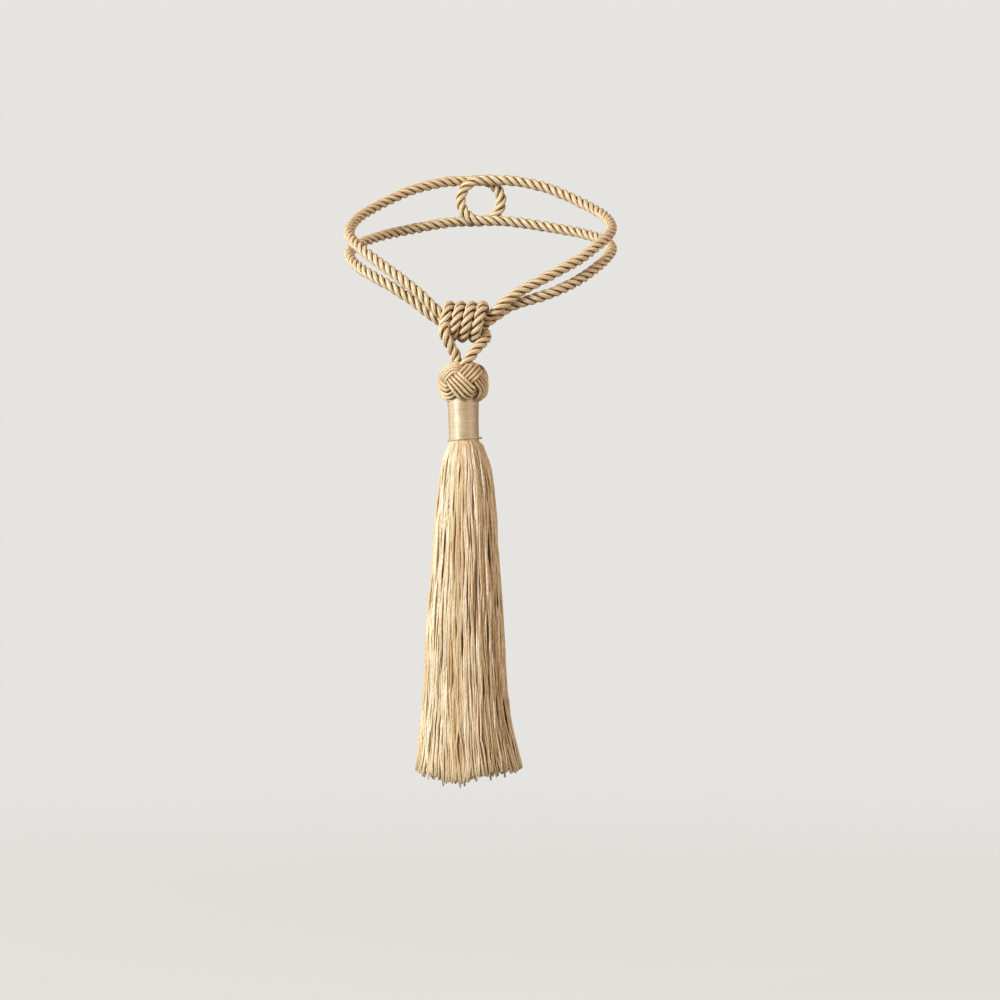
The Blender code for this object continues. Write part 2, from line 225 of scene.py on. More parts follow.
# The skirt's rows: height, half width, half depth, middle along X, middle along Y, and the share
# of a thread's radius.
SKIRT_ROWS = (
    (-0.1645, 0.0088, 0.0088, -0.0105, -0.1380, 0.50),
    (-0.1683, 0.0100, 0.0100, -0.0105, -0.1380, 0.56),
    (-0.1709, 0.0117, 0.0112, -0.0096, -0.1380, 0.66),
    (-0.1749, 0.0131, 0.0124, -0.0097, -0.1381, 0.78),
    (-0.1812, 0.0150, 0.0137, -0.0094, -0.1383, 0.88),
    (-0.1888, 0.0166, 0.0149, -0.0092, -0.1385, 0.96),
    (-0.2033, 0.0186, 0.0161, -0.0091, -0.1387, 1.00),
    (-0.2175, 0.0200, 0.0168, -0.0093, -0.1389, 1.00),
    (-0.2317, 0.0209, 0.0173, -0.0094, -0.1390, 1.00),
    (-0.2500, 0.0221, 0.0181, -0.0094, -0.1392, 1.00),
    (-0.2680, 0.0234, 0.0188, -0.0095, -0.1394, 1.00),
    (-0.2840, 0.0246, 0.0195, -0.0098, -0.1396, 1.00),
    (-0.2990, 0.0255, 0.0201, -0.0099, -0.1397, 1.00),
    (-0.3155, 0.0264, 0.0207, -0.0098, -0.1398, 1.00),
    (-0.3320, 0.0274, 0.0213, -0.0097, -0.1400, 1.00),
    (-0.3460, 0.0285, 0.0220, -0.0094, -0.1402, 1.00),
    (-0.3597, 0.0300, 0.0229, -0.0090, -0.1404, 1.00),
    (-0.3800, 0.0334, 0.0246, -0.0077, -0.1408, 0.98),
    (-0.3905, 0.0354, 0.0254, -0.0072, -0.1408, 0.94),
)
# The hem from left to right: a place along X and the height that the threads reach down to there.
HEM = (
    (-0.0420, -0.3828),
    (-0.0270, -0.3888),
    (-0.0140, -0.3912),
    (-0.0046, -0.3884),
    (0.0044, -0.3866),
    (0.0170, -0.3846),
    (0.0270, -0.3826),
)
HEM_RAGGED = 0.0013  # the usual spread of the ends about this height
LONG_END_SHARE = 0.03
LONG_END = (0.001, 0.008)  # least and most that a longer end reaches below the others
LONG_END_POWER = 3  # most of the longer ends are near the least
GATHER_ROWS = 6  # the threads follow these rows at the neck and even steps below them
HANGING_STEPS = 18
# The coats of threads: how many, between which shares of the skirt's radius, how far they are drawn
# to the middles of their clumps, the share that stray across the others, and their tones. The tones
# vary at random, and coats further in have lower ones as painted shade.
COATS = (
    {
        "name": "skirt_outer_threads",
        "count": 360,
        "reaches": (0.935, 0.985),
        "pull": 0.44,
        "strays": 0.16,
        "tones": (0.2, 1.0),
    },
    {
        "name": "skirt_middle_threads",
        "count": 440,
        "reaches": (0.810, 0.930),
        "pull": 0.18,
        "strays": 0.0,
        "tones": (0.1, 0.8),
    },
    {
        "name": "skirt_inner_threads",
        "count": 440,
        "reaches": (0.0, 0.810),
        "pull": 0.0,
        "strays": 0.0,
        "tones": (0.0, 0.7),
    },
)
CLUMPS = 64
CLUMP_SHIFT = 0.28  # of the space between two, from its even place
CLUMP_SIDE_RUN = (0.00045, 0.04, 0.12)
CLUMP_OUT_RUN = (0.0006, 0.04, 0.12)
CLUMP_PULL_RUN = (0.5, 0.025, 0.08)  # its size is a share of the coat's pull
CLUMP_TONE_SHARE = 0.55  # the rest of a thread's tone is its own
PULL_EASING = 0.7  # the share of that pull that is gone at the hem
SKIRT_THREAD_RADIUS = 0.00066
SKIRT_THREAD_SIDES = 4
THREAD_WIDTHS = (0.82, 1.18)  # least and most, as shares of the usual width
THREAD_RUN = (0.0003, 0.025, 0.07)
RUN_AT_TOP = 0.6  # the share of its own uneven run that a thread has at the top
RUN_GAINED = 1.6  # what that share gains down to the hem
FREEING = 9  # a thread hangs free from a ninth of the way down
THREAD_JITTER = 0.00022  # from one row to the next
PAINTED_SHADE_DEPTH = 0.16  # of the skirt's radius, how far in a thread's painted shade is at its darkest
STRAY = (0.001, 0.006)  # least and most that a stray one has moved sideways at the hem
SEED = 21

# --- the finishes ---

YARN_WIDTH = 0.00063  # as drawn: the rope's real yarns are 0.4 mm, a little too fine to show
YARN_DEPTH = 0.00015
ROPE_PATCH = 0.006  # the rope is lighter and darker in patches of about 6 mm
SILK_PITCH = 0.0008  # as drawn: the silk's real turns on a cord are 0.2 mm apart, too fine to show
SILK_DEPTH = 0.00006
KNOT_PATCH = 0.004
CORE_PATCH = 0.0016  # the core's turns of yarn show as patches 1.6 mm long
CORE_STRETCH = (1, 1, 3)  # and a third as high
CORE_DEPTH = 0.0003
NECK_TURNS = 0.0009  # each two turns of the neck's thread are lighter or darker than the next two
NECK_STRETCH = (0.05, 0.05, 1)  # for most of the way round
NECK_PATCH = 0.005
PLY_PITCH = 0.004  # along a skirt thread, from one line between its two plies to the next
PLY_STARTS = 7.0  # how many lines further on the lightest threads begin than the darkest
PLY_DEPTH = 0.00012
SKIRT_PATCH = 0.0022
SKIRT_STRETCH = (1, 1, 0.2)  # five times as long as they are wide
PATCH_NOISE = (0.3, 0.7)  # nearly all of the noise that makes the patches lies between these
PAINTED_SHADE_FROM = 0.12  # of the painted shade's depth, outside which a thread has no painted shade and its full tone
HEM_LIGHT_FROM = 0.945  # of the way down, below which a thread's end is lightened towards cream as painted light
HEM_LIGHT_MOST = 0.75  # how far towards cream the painted light has gone at its tip
SHEEN = "#C08A50"  # the loose fibres on every thread take the threads' colour

# --- the room ---

FLOOR_Z = -0.55
FLOOR_HALF = 12.0
FADE_START = 0.6  # the floor turns into the room from here
FADE_END = 2.4
FLOOR_GLOW = 0.85  # how far it has turned already at its middle
BOARD_COLOUR = "#E4E0DA"
BOARD_ROUGHNESS = 0.9
ROOM_COLOUR = "#E6E4E0"  # as the camera sees it
ROOM_LIGHT = "#F4DABC"  # as it lights the object
ROOM_STRENGTH = 0.20
LIGHT_AIM = Vector((-0.005, MIDDLE_Y, -0.22))
# The lights: name, place, size across, power in watts, and colour.
LIGHTS = (
    ("key", (-2.57, -2.0, 0.9), 1.1, 143, "#FFFEFA"),
    ("fill", (1.5, -0.9, 0.3), 1.8, 20, "#FFE8D6"),
    ("side", (-1.8, 0.35, 0.1), 1.0, 9, "#FFFCF6"),
)


# --- making meshes ---


def add_object(name, data, material=None):
    obj = bpy.data.objects.new(name, data)
    bpy.context.scene.collection.objects.link(obj)
    if material:
        data.materials.append(material)
    return obj


def tubes(name, lines, radius, sides, closed=False):
    """One mesh of round tubes along these lines of (point, share of the radius)."""
    data = bpy.data.curves.new(name + "_line", "CURVE")
    data.dimensions = "3D"
    data.bevel_depth = radius
    data.bevel_resolution = sides // 2 - 2  # which gives the tube this many sides
    for line in lines:
        spline = data.splines.new("POLY")
        spline.points.add(len(line) - 1)
        spline.points.foreach_set("co", [x for point, _ in line for x in (*point, 1)])
        spline.points.foreach_set("radius", [share for _, share in line])
        spline.use_cyclic_u = closed
    guide = bpy.data.objects.new(name + "_line", data)
    bpy.context.scene.collection.objects.link(guide)
    bpy.context.view_layer.update()
    depsgraph = bpy.context.evaluated_depsgraph_get()
    mesh = bpy.data.meshes.new_from_object(guide.evaluated_get(depsgraph))
    mesh.name = name
    bpy.data.objects.remove(guide, do_unlink=True)
    return mesh


def set_points(mesh, name, values):
    """Gives the mesh a number at each of its points, for its material."""
    mesh.attributes.new(name, "FLOAT", "POINT").data.foreach_set("value", values)


def points_of(mesh):
    places = np.zeros(len(mesh.vertices) * 3)
    mesh.vertices.foreach_get("co", places)
    return places.reshape(-1, 3)


def close_ends(mesh):
    """Fills the open ends of tubes, turns every face outwards and shades them smooth."""
    bm = bmesh.new()
    bm.from_mesh(mesh)
    bmesh.ops.holes_fill(bm, edges=[e for e in bm.edges if e.is_boundary], sides=0)
    bmesh.ops.recalc_face_normals(bm, faces=bm.faces)
    bm.to_mesh(mesh)
    bm.free()
    mesh.shade_smooth()


# --- the rope's routes, as the solids have them ---


def on_oval(angle_deg, height):
    """The point at this angle round the oval, where 0 is its front and 90 its right."""
    angle = math.radians(angle_deg)
    x = OVAL_HALF_WIDTH * math.sin(angle)
    y = -OVAL_HALF_DEPTH * (1 + math.cos(angle))
    return Vector((x, y, height))


def beside_hook(point, angle_deg):
    """The point moved along Y, so that the left and right bights pass each other at the hook."""
    passing = (abs(angle_deg) - PASSING_FROM_DEG) / (180 - PASSING_FROM_DEG)
    near_hook = max(0.0, passing) ** 2
    side = 1 if angle_deg < 0 else -1
    return point + Vector((0, side * BIGHT_OFFSET * near_hook, 0))


def side_rows(sign):
    """The rows on the left, at -1, or the right, at 1, from the front to the hook."""
    rows = [row for row in RING_ROWS if row[0] * sign > 0]
    return sorted(rows, key=lambda row: abs(row[0]))


def run_points(rows, upper):
    """The upper or the lower run's (point, share of the radius) pairs through these rows."""
    points = []
    for angle, upper_height, lower_height, in_front, share in rows:
        height = upper_height if upper else lower_height
        shift = Vector((0, -in_front / 2 if upper else in_front / 2, 0))
        points.append((beside_hook(on_oval(angle, height), angle) + shift, share))
    return points


def bight_points(sign):
    """A half circle round the hook, from the upper run at its top to the lower one."""
    points = []
    for i in range(BIGHT_POINTS):
        angle = math.pi * i / (BIGHT_POINTS - 1)
        x = -sign * EYE_RADIUS * math.sin(angle)
        z = EYE_RADIUS * math.cos(angle)
        points.append((Vector((x, -sign * BIGHT_OFFSET, z)), 1.0))
    return points


def ring_route():
    """The whole ring: out to the left above, back below, then to the right below and back."""
    left, right = side_rows(-1), side_rows(1)
    return (
        run_points(left, True)
        + bight_points(-1)
        + run_points(left[::-1], False)
        + run_points(right, False)
        + bight_points(1)[::-1]
        + run_points(right[::-1], True)
    )


def coil_point(angle_deg):
    """The point of the coil's middle line at this angle along its turns."""
    angle = math.radians(angle_deg)
    x = COIL_TOP_X - COIL_PITCH * (angle_deg - 90) / 360 - COIL_LEAN * (1 - math.sin(angle)) / 2
    axis = on_oval(math.degrees(math.asin(x / OVAL_HALF_WIDTH)), COIL_CENTRE_Z)
    y = axis.y + COIL_HALF_DEPTH * math.cos(angle)
    z = axis.z + COIL_HALF_HEIGHT * math.sin(angle)
    return Vector((x, y, z))


def hanger_route():
    """From the ball up the right leg, round the coil to the left and down the left leg."""
    steps = round((COIL_END_DEG - COIL_START_DEG) / COIL_STEP_DEG)
    coil = [coil_point(COIL_START_DEG + COIL_STEP_DEG * i) for i in range(steps + 1)]
    points = [Vector(p) for p in RIGHT_LEG] + coil + [Vector(p) for p in LEFT_LEG]
    return [(point, 1.0) for point in points]


def catmull_rom(a, b, c, d, t):
    """Between b and c, on the smooth curve through all four."""
    return 0.5 * (
        2 * b
        + (c - a) * t
        + (2 * a - 5 * b + 4 * c - d) * t * t
        + (3 * b - a - 3 * c + d) * t**3
    )


def smooth_route(route, closed):
    """Many (point, share) pairs along the smooth curve through the route's own points."""
    count = len(route)
    spans = count if closed else count - 1
    dense = []
    for i in range(spans):
        picked = [i - 1, i, i + 1, i + 2]
        if closed:
            picked = [k % count for k in picked]
        else:
            picked = [min(max(k, 0), count - 1) for k in picked]
        (a, _), (b, share_b), (c, share_c), (d, _) = (route[k] for k in picked)
        for j in range(PIECES_A_SPAN):
            t = j / PIECES_A_SPAN
            dense.append((catmull_rom(a, b, c, d, t), share_b + (share_c - share_b) * t))
    dense.append(route[0] if closed else route[-1])
    return dense


def spaced_route(dense, count):
    """count + 1 (point, share) pairs at even distances along the dense ones."""
    lengths = [0.0]
    for (a, _), (b, _) in zip(dense, dense[1:]):
        lengths.append(lengths[-1] + (b - a).length)
    spaced, k = [], 0
    for i in range(count + 1):
        wanted = lengths[-1] * i / count
        while k < len(dense) - 2 and lengths[k + 1] < wanted:
            k += 1
        t = (wanted - lengths[k]) / (lengths[k + 1] - lengths[k])
        (a, share_a), (b, share_b) = dense[k], dense[k + 1]
        spaced.append((a.lerp(b, t), share_a + (share_b - share_a) * t))
    return spaced


def route_length(dense):
    return sum((b - a).length for (a, _), (b, _) in zip(dense, dense[1:]))


# --- the rope itself ---


def steady_frames(points, closed):
    """At each point, two sides square to the rope that turn no more than they have to.

    What is left over after one round of a closed rope is shared out along it.
    """
    count = len(points)
    tangents = []
    for i in range(count):
        before = points[(i - 1) % count] if closed or i else points[0]
        after = points[(i + 1) % count] if closed or i < count - 1 else points[-1]
        tangents.append((after - before).normalized())
    side = tangents[0].orthogonal().normalized()
    sides = []
    for tangent in tangents:
        side = (side - tangent * side.dot(tangent)).normalized()
        sides.append(side)
    left_over = 0.0
    if closed:
        first, tangent = sides[0], tangents[0]
        back = (side - tangent * side.dot(tangent)).normalized()
        left_over = math.atan2(back.cross(first).dot(tangent), back.dot(first))
    frames = []
    for i, (side, tangent) in enumerate(zip(sides, tangents)):
        turned = Matrix.Rotation(left_over * i / count, 3, tangent) @ side
        frames.append((turned, tangent.cross(turned)))
    return frames


def make_rope(name, route, closed, material):
    """A rope of three strands laid right-handed, and the points along its middle."""
    dense = smooth_route(route, closed)
    lays = max(1, round(route_length(dense) / ROPE_LAY))
    spaced = spaced_route(dense, lays * STEPS_A_LAY)
    if closed:
        spaced.pop()
    middles = [point for point, _ in spaced]
    frames = steady_frames(middles, closed)
    strands = []
    for strand in range(ROPE_STRANDS):
        line = []
        for i, ((point, share), (side, other)) in enumerate(zip(spaced, frames)):
            angle = 2 * math.pi * (i / STEPS_A_LAY + strand / ROPE_STRANDS)
            away = side * math.cos(angle) + other * math.sin(angle)
            line.append((point + away * STRAND_AWAY * share, share))
        strands.append(line)
    sides = 2 * RIDGES
    mesh = tubes(name, strands, STRAND_RADIUS, sides, closed)
    rings = points_of(mesh).reshape(-1, sides, 3)
    centres = rings.mean(axis=1, keepdims=True)
    groove = np.arange(sides) % 2  # every other point of a ring is drawn in, between two ridges
    rings = centres + (rings - centres) * (1 - RIDGE_DEPTH * groove)[None, :, None]
    mesh.vertices.foreach_set("co", rings.ravel())
    middle_rings = np.tile(np.array(middles), (ROPE_STRANDS, 1))[:, None, :]
    # how far out each point is, which the material turns into painted shade in the grooves and
    # painted highlight on the crowns
    reach = np.linalg.norm(rings - middle_rings, axis=2) / (STRAND_AWAY + STRAND_RADIUS)
    set_points(mesh, "reach", reach.ravel())
    # the drawn-in points are also marked for the material's painted shade in the grooves between
    # ridges
    set_points(mesh, "groove", np.tile(groove, len(rings)))
    if not closed:
        close_ends(mesh)
    mesh.shade_smooth()
    return add_object(name, mesh, material), middles


# --- the head ---


def uneven_run(draw, size, shortest, longest):
    """How far a cord or thread is off its even place, by the distance along it."""
    waves = []
    for _ in range(WAVES):
        length = draw.uniform(shortest, longest)
        height = draw.uniform(*WAVE_SHARES) * size
        waves.append((height, 2 * math.pi / length, draw.uniform(*WAVE_STARTS)))
    return lambda far: sum(height * math.sin(rate * far + start) for height, rate, start in waves)


def turn_between(angle, other):
    """The turn from the other angle to this one, at most half a turn either way."""
    return (angle - other + math.pi) % (2 * math.pi) - math.pi


def ball_squash(direction):
    """The ball's height over its width in this direction, and how far down it points, 0 to 1."""
    down = min(1.0, max(0.0, -direction.z / FULLEST_DOWN))
    return UPPER_SQUASH + (LOWER_SQUASH - UPPER_SQUASH) * down, down


def on_ball(direction, height):
    """The point in this direction from the ball's centre, at this height over its core."""
    squash, down = ball_squash(direction)
    power = TOP_ROUNDNESS + (BOTTOM_ROUNDNESS - TOP_ROUNDNESS) * down
    flat = math.hypot(direction.x, direction.y)
    fuller = (flat**power + abs(direction.z) ** power) ** (-1 / power)
    place = direction * (CORE_RADIUS + height) * fuller
    return BALL_CENTRE + Vector((place.x, place.y, squash * place.z))


def pulled(around, rise):
    """The angles of a place on the knot's middle line after the pulls of the hand that tied it."""
    turn, lift = 0.0, 0.0
    for even, real in PULLS_DEG:
        beside = turn_between(around, math.radians(even[0]))
        away = math.hypot(beside * math.cos(rise), rise - math.radians(even[1]))
        share = math.exp(-((away / math.radians(PULL_SPREAD_DEG)) ** 2))
        turn += share * math.radians(real[0] - even[0])
        lift += share * math.radians(real[1] - even[1])
    return around + turn, rise + lift


def band_middle():
    """The (direction from the ball's centre, share of the lift) pairs down the knot's one band."""
    tilt = Matrix.Rotation(-math.radians(KNOT_TILT_DEG), 3, "X")
    middle = []
    for i in range(KNOT_STEPS):
        even = 2 * math.pi * KNOT_LEADS * i / KNOT_STEPS
        phase = KNOT_BIGHTS / KNOT_LEADS * (even - math.radians(KNOT_PHASE_DEG))
        around, rise = pulled(even, math.radians(KNOT_SWING_DEG) * math.cos(phase))
        flat = math.cos(rise)
        place = Vector((flat * math.sin(around), -flat * math.cos(around), math.sin(rise)))
        over = math.tanh(LIFT_SHARPNESS * math.sin(2 * phase)) / math.tanh(LIFT_SHARPNESS)
        middle.append((tilt @ place, (1 - over) / 2))
    return middle


def cord_line(middle, offset, draw):
    """The closed line of one cord of the knot, beside the middle of its band."""
    sideways = uneven_run(draw, *CORD_RUN)
    directions = []
    for i, (direction, _) in enumerate(middle):
        along = middle[(i + 1) % len(middle)][0] - middle[i - 1][0]
        side = direction.cross(along).normalized()
        squash, _ = ball_squash(direction)
        squashed = Vector((side.x, side.y, squash * side.z)).length
        far = 2 * math.pi * KNOT_LEADS * CORE_RADIUS * i / KNOT_STEPS
        turn = (offset + sideways(far)) / squashed / (CORE_RADIUS + CORD_RADIUS)
        directions.append(direction * math.cos(turn) + side * math.sin(turn))
    for _ in range(CORD_EASINGS):
        turned = zip([directions[-1]] + directions, directions, directions[1:] + directions[:1])
        directions = [(a + 2 * b + c).normalized() for a, b, c in turned]
    line = []
    for direction, (_, lift) in zip(directions, middle):
        line.append((on_ball(direction, CORD_RADIUS + BAND_LIFT * lift), 1.0))
    return line


def make_knot(material):
    """The knot's three leads and five bights, each band laid up from five cords."""
    draw = random.Random(SEED)
    middle = band_middle()
    offsets = [(k - (BAND_CORDS - 1) / 2) * CORD_PITCH for k in range(BAND_CORDS)]
    lines = [cord_line(middle, offset, draw) for offset in offsets]
    mesh = tubes("knot_cords", lines, CORD_RADIUS, CORD_SIDES, closed=True)
    # how far out each point is over the core, which the material turns into painted shade and
    # painted highlight
    reach = []
    for vertex in mesh.vertices:
        from_centre = vertex.co - BALL_CENTRE
        squash, _ = ball_squash(from_centre.normalized())
        direction = Vector((from_centre.x, from_centre.y, from_centre.z / squash)).normalized()
        inside = (on_ball(direction, 0) - BALL_CENTRE).length
        reach.append((from_centre.length - inside) / (BAND_LIFT + 2 * CORD_RADIUS))
    set_points(mesh, "reach", reach)
    mesh.shade_smooth()
    return add_object("knot_cords", mesh, material)


def make_core(material):
    """The ball inside the knot, which shows between its bands."""
    bm = bmesh.new()
    bmesh.ops.create_icosphere(bm, subdivisions=CORE_SUBDIVISIONS, radius=CORE_RADIUS)
    for vertex in bm.verts:
        vertex.co = on_ball(vertex.co.normalized(), 0)
    mesh = bpy.data.meshes.new("ball_core")
    bm.to_mesh(mesh)
    bm.free()
    mesh.shade_smooth()
    return add_object("ball_core", mesh, material)


def neck_down(z):
    """How far down the neck this height is, from 0 at its top to 1."""
    return (NECK_TOP_Z - z) / (NECK_TOP_Z - NECK_BOTTOM_Z)


def neck_reach(z):
    """The neck's radius outside its thread, a little drawn in at the middle."""
    down = neck_down(z)
    even = NECK_TOP_RADIUS + (NECK_BOTTOM_RADIUS - NECK_TOP_RADIUS) * down
    return even - NECK_WAIST * math.sin(math.pi * down)


def on_neck(angle, z, radius):
    """The point at this angle round the neck, where 0 faces front and 90 degrees right."""
    x = NECK_TOP_X + (NECK_BOTTOM_X - NECK_TOP_X) * neck_down(z)
    return Vector((x + radius * math.sin(angle), MIDDLE_Y - radius * math.cos(angle), z))


def make_neck(material):
    """One thread wound round the heading down to the skirt, and its last turn, tied off."""
    turns = (NECK_TOP_Z - NECK_BOTTOM_Z) / THREAD_PITCH
    steps = round(turns * STEPS_A_TURN)
    wound = []
    for i in range(steps + 1):
        angle = 2 * math.pi * turns * i / steps
        z = NECK_TOP_Z + (NECK_BOTTOM_Z - NECK_TOP_Z) * i / steps
        wound.append((on_neck(angle, z, neck_reach(z) - THREAD_RADIUS), 1.0))
    tie = []
    for i in range(STEPS_A_TURN + 1):
        share = i / STEPS_A_TURN
        angle = math.radians(TIE_START_DEG + (TIE_END_DEG - TIE_START_DEG) * share)
        rise = max(0.0, (share - RISE_FROM) / (1 - RISE_FROM))
        tail = max(0.0, (share - TAIL_FROM) / (1 - TAIL_FROM))
        z = NECK_BOTTOM_Z + TIE_RISE * rise - TIE_DROOP * tail
        proud = TIE_PROUD * min(1.0, share / PROUD_BY) + TIE_TAIL * tail
        tie.append((on_neck(angle, z, neck_reach(z) - THREAD_RADIUS + proud), TIE_SHARE))
    mesh = tubes("neck_thread", [wound, tie], THREAD_RADIUS, THREAD_SIDES)
    close_ends(mesh)
    return add_object("neck_thread", mesh, material)


def make_heading(material):
    """The heading under the neck's thread, from which the skirt's threads hang."""
    radius = NECK_BOTTOM_RADIUS - NECK_WAIST - THREAD_RADIUS
    bm = bmesh.new()
    bmesh.ops.create_cone(
        bm,
        cap_ends=True,
        segments=HEADING_SIDES,
        radius1=radius,
        radius2=radius,
        depth=NECK_TOP_Z - NECK_BOTTOM_Z,
    )
    rims = [e for e in bm.edges if e.verts[0].co.z * e.verts[1].co.z > 0]
    bmesh.ops.bevel(
        bm,
        geom=rims,
        affect="EDGES",
        offset=HEADING_EDGE,
        segments=HEADING_EDGE_STEPS,
        profile=0.5,
        material=-1,
    )
    middle = ((NECK_TOP_X + NECK_BOTTOM_X) / 2, MIDDLE_Y, (NECK_TOP_Z + NECK_BOTTOM_Z) / 2)
    bmesh.ops.translate(bm, verts=bm.verts, vec=middle)
    mesh = bpy.data.meshes.new("neck_heading")
    bm.to_mesh(mesh)
    bm.free()
    mesh.shade_smooth()
    return add_object("neck_heading", mesh, material)


# --- the skirt ---


def thread_rows():
    """The skirt's rows as its threads follow them: close at the neck, then at even steps."""
    rows = np.array(SKIRT_ROWS)
    heights = list(rows[:GATHER_ROWS, 0])
    last, low = heights[-1], SKIRT_ROWS[-1][0]
    heights += [last + (low - last) * (i + 1) / HANGING_STEPS for i in range(HANGING_STEPS)]
    columns = [np.interp(heights, rows[::-1, 0], rows[::-1, k]) for k in range(rows.shape[1])]
    return np.array(columns).T


def draw_clumps(draw):
    """The clumps that the outer threads hang in: their angles, runs, pulls and tones."""
    clumps = []
    for i in range(CLUMPS):
        clumps.append(
            {
                "angle": 2 * math.pi * (i + draw.uniform(-CLUMP_SHIFT, CLUMP_SHIFT)) / CLUMPS,
                "side": uneven_run(draw, *CLUMP_SIDE_RUN),
                "out": uneven_run(draw, *CLUMP_OUT_RUN),
                "pull": uneven_run(draw, *CLUMP_PULL_RUN),
                "tone": draw.random(),
            }
        )
    return clumps


def thread_end(draw, x):
    """The height of the cut end of a thread that reaches the hem at this place along X."""
    places, heights = zip(*HEM)
    end = np.interp(x, places, heights) + draw.gauss(0, HEM_RAGGED)
    if draw.random() < LONG_END_SHARE:
        least, most = LONG_END
        end -= least + (most - least) * draw.random() ** LONG_END_POWER
    return end


def thread_line(draw, rows, reach, clump, angle, pull, stray):
    """One thread from the heading to the hem: its (point, share) pairs and how deep each lies."""
    side = uneven_run(draw, *THREAD_RUN)
    out = uneven_run(draw, *THREAD_RUN)
    width = draw.uniform(*THREAD_WIDTHS)
    apart = turn_between(clump["angle"], angle)
    top = rows[0][0]
    low, hem_half_width, _, hem_middle, _, _ = rows[-1]
    end = thread_end(draw, hem_middle + hem_half_width * reach * math.sin(angle))
    line, depths = [], []
    for z, half_width, half_depth, x, y, share in rows:
        far = top - z
        down = far / (top - low)
        loose = min(1.0, FREEING * down)
        own = side(far) * (RUN_AT_TOP + RUN_GAINED * down**2) + stray * down**2
        sideways = own + clump["side"](far) + draw.gauss(0, THREAD_JITTER)
        outward = out(far) + clump["out"](far) + draw.gauss(0, THREAD_JITTER)
        mean = (half_width + half_depth) / 2
        held = pull * (1 - PULL_EASING * down**2) * max(0.0, 1 + clump["pull"](far))
        turned = angle + loose * (apart * held + sideways / mean)
        length = min(1.0, reach + outward * loose / mean)
        place = (
            x + half_width * length * math.sin(turned),
            y - half_depth * length * math.cos(turned),
            top + (end - top) * down,
        )
        line.append((place, share * width))
        # how deep the point lies, for the painted shade on the threads further in
        depths.append(min(1.0, (1.0 - length) / PAINTED_SHADE_DEPTH))
    return line, depths


def make_coat(coat, draw, rows, clumps, material):
    """One coat of threads, each with its tone, and how deep and how far down each point is."""
    inmost, outmost = coat["reaches"]
    darkest, lightest = coat["tones"]
    lines, tones, depths = [], [], []
    for _ in range(coat["count"]):
        angle = 2 * math.pi * draw.random()
        clump = min(clumps, key=lambda clump: abs(turn_between(clump["angle"], angle)))
        reach = math.sqrt(draw.uniform(inmost**2, outmost**2))
        stray = 0.0
        if draw.random() < coat["strays"]:
            stray = draw.choice((-1, 1)) * draw.uniform(*STRAY)
            reach = outmost
        line, depth = thread_line(draw, rows, reach, clump, angle, coat["pull"], stray)
        lines.append(line)
        depths.append(depth)
        bright = clump["tone"] * CLUMP_TONE_SHARE + draw.random() * (1 - CLUMP_TONE_SHARE)
        tones.append(darkest + (lightest - darkest) * bright)
    sides = SKIRT_THREAD_SIDES
    mesh = tubes(coat["name"], lines, SKIRT_THREAD_RADIUS, sides)
    down = np.linspace(0, 1, len(rows))
    set_points(mesh, "tone", np.repeat(np.array(tones), len(rows) * sides))
    # the depth gives the painted shade further in, and down gives the painted light at the cut ends
    set_points(mesh, "depth", np.repeat(np.array(depths).ravel(), sides))
    set_points(mesh, "down", np.tile(np.repeat(down, sides), len(lines)))
    close_ends(mesh)
    return add_object(coat["name"], mesh, material)


def make_skirt(material):
    """The loose threads: an outer coat in clumps, the ones that show between them, and the rest."""
    draw = random.Random(SEED)
    clumps = draw_clumps(draw)
    rows = thread_rows()
    return [make_coat(coat, draw, rows, clumps, material) for coat in COATS]


# --- materials ---


def linear(hex_colour):
    """A colour given as sRGB hex, as Blender's linear values."""
    values = [int(hex_colour[i : i + 2], 16) / 255 for i in (1, 3, 5)]
    turned = [v / 12.92 if v <= 0.04045 else ((v + 0.055) / 1.055) ** 2.4 for v in values]
    return (*turned, 1.0)


def add(tree, kind, inputs=None, stops=(), **settings):
    """A node with its settings, its inputs, each a socket or a value, and a ramp's stops."""
    node = tree.nodes.new("ShaderNode" + kind)
    for name, value in settings.items():
        setattr(node, name, value)
    for name, value in (inputs or {}).items():
        if isinstance(value, bpy.types.NodeSocket):
            tree.links.new(value, node.inputs[name])
        else:
            node.inputs[name].default_value = value
    if stops:
        marks = node.color_ramp.elements
        while len(marks) < len(stops):
            marks.new(1.0)
        for mark, (place, colour) in zip(marks, stops):
            mark.position = place
            mark.color = linear(colour)
    return node


def new_material(name):
    """A material, its nodes and its shader."""
    material = bpy.data.materials.new(name)
    material.use_nodes = True
    return material, material.node_tree, material.node_tree.nodes["Principled BSDF"]


def set_shader(shader, **values):
    """Sets the shader's own sockets, each named with _ for a space."""
    for name, value in values.items():
        shader.inputs[name.replace("_", " ")].default_value = value


# A Mix node's sockets for colours go by number, because their names aren't theirs alone.
MIX_FACTOR = 0
MIX_FROM = 6
MIX_TO = 7
MIXED = 2


def lay_tones(tree, colour, tones):
    """The colour under these tones, each a factor and what it multiplies by at a factor of 1."""
    for factor, tone in tones:
        mix = add(
            tree,
            "Mix",
            {MIX_FACTOR: factor, MIX_FROM: colour, MIX_TO: linear(tone)},
            data_type="RGBA",
            blend_type="MULTIPLY",
        )
        colour = mix.outputs[MIXED]
    return colour


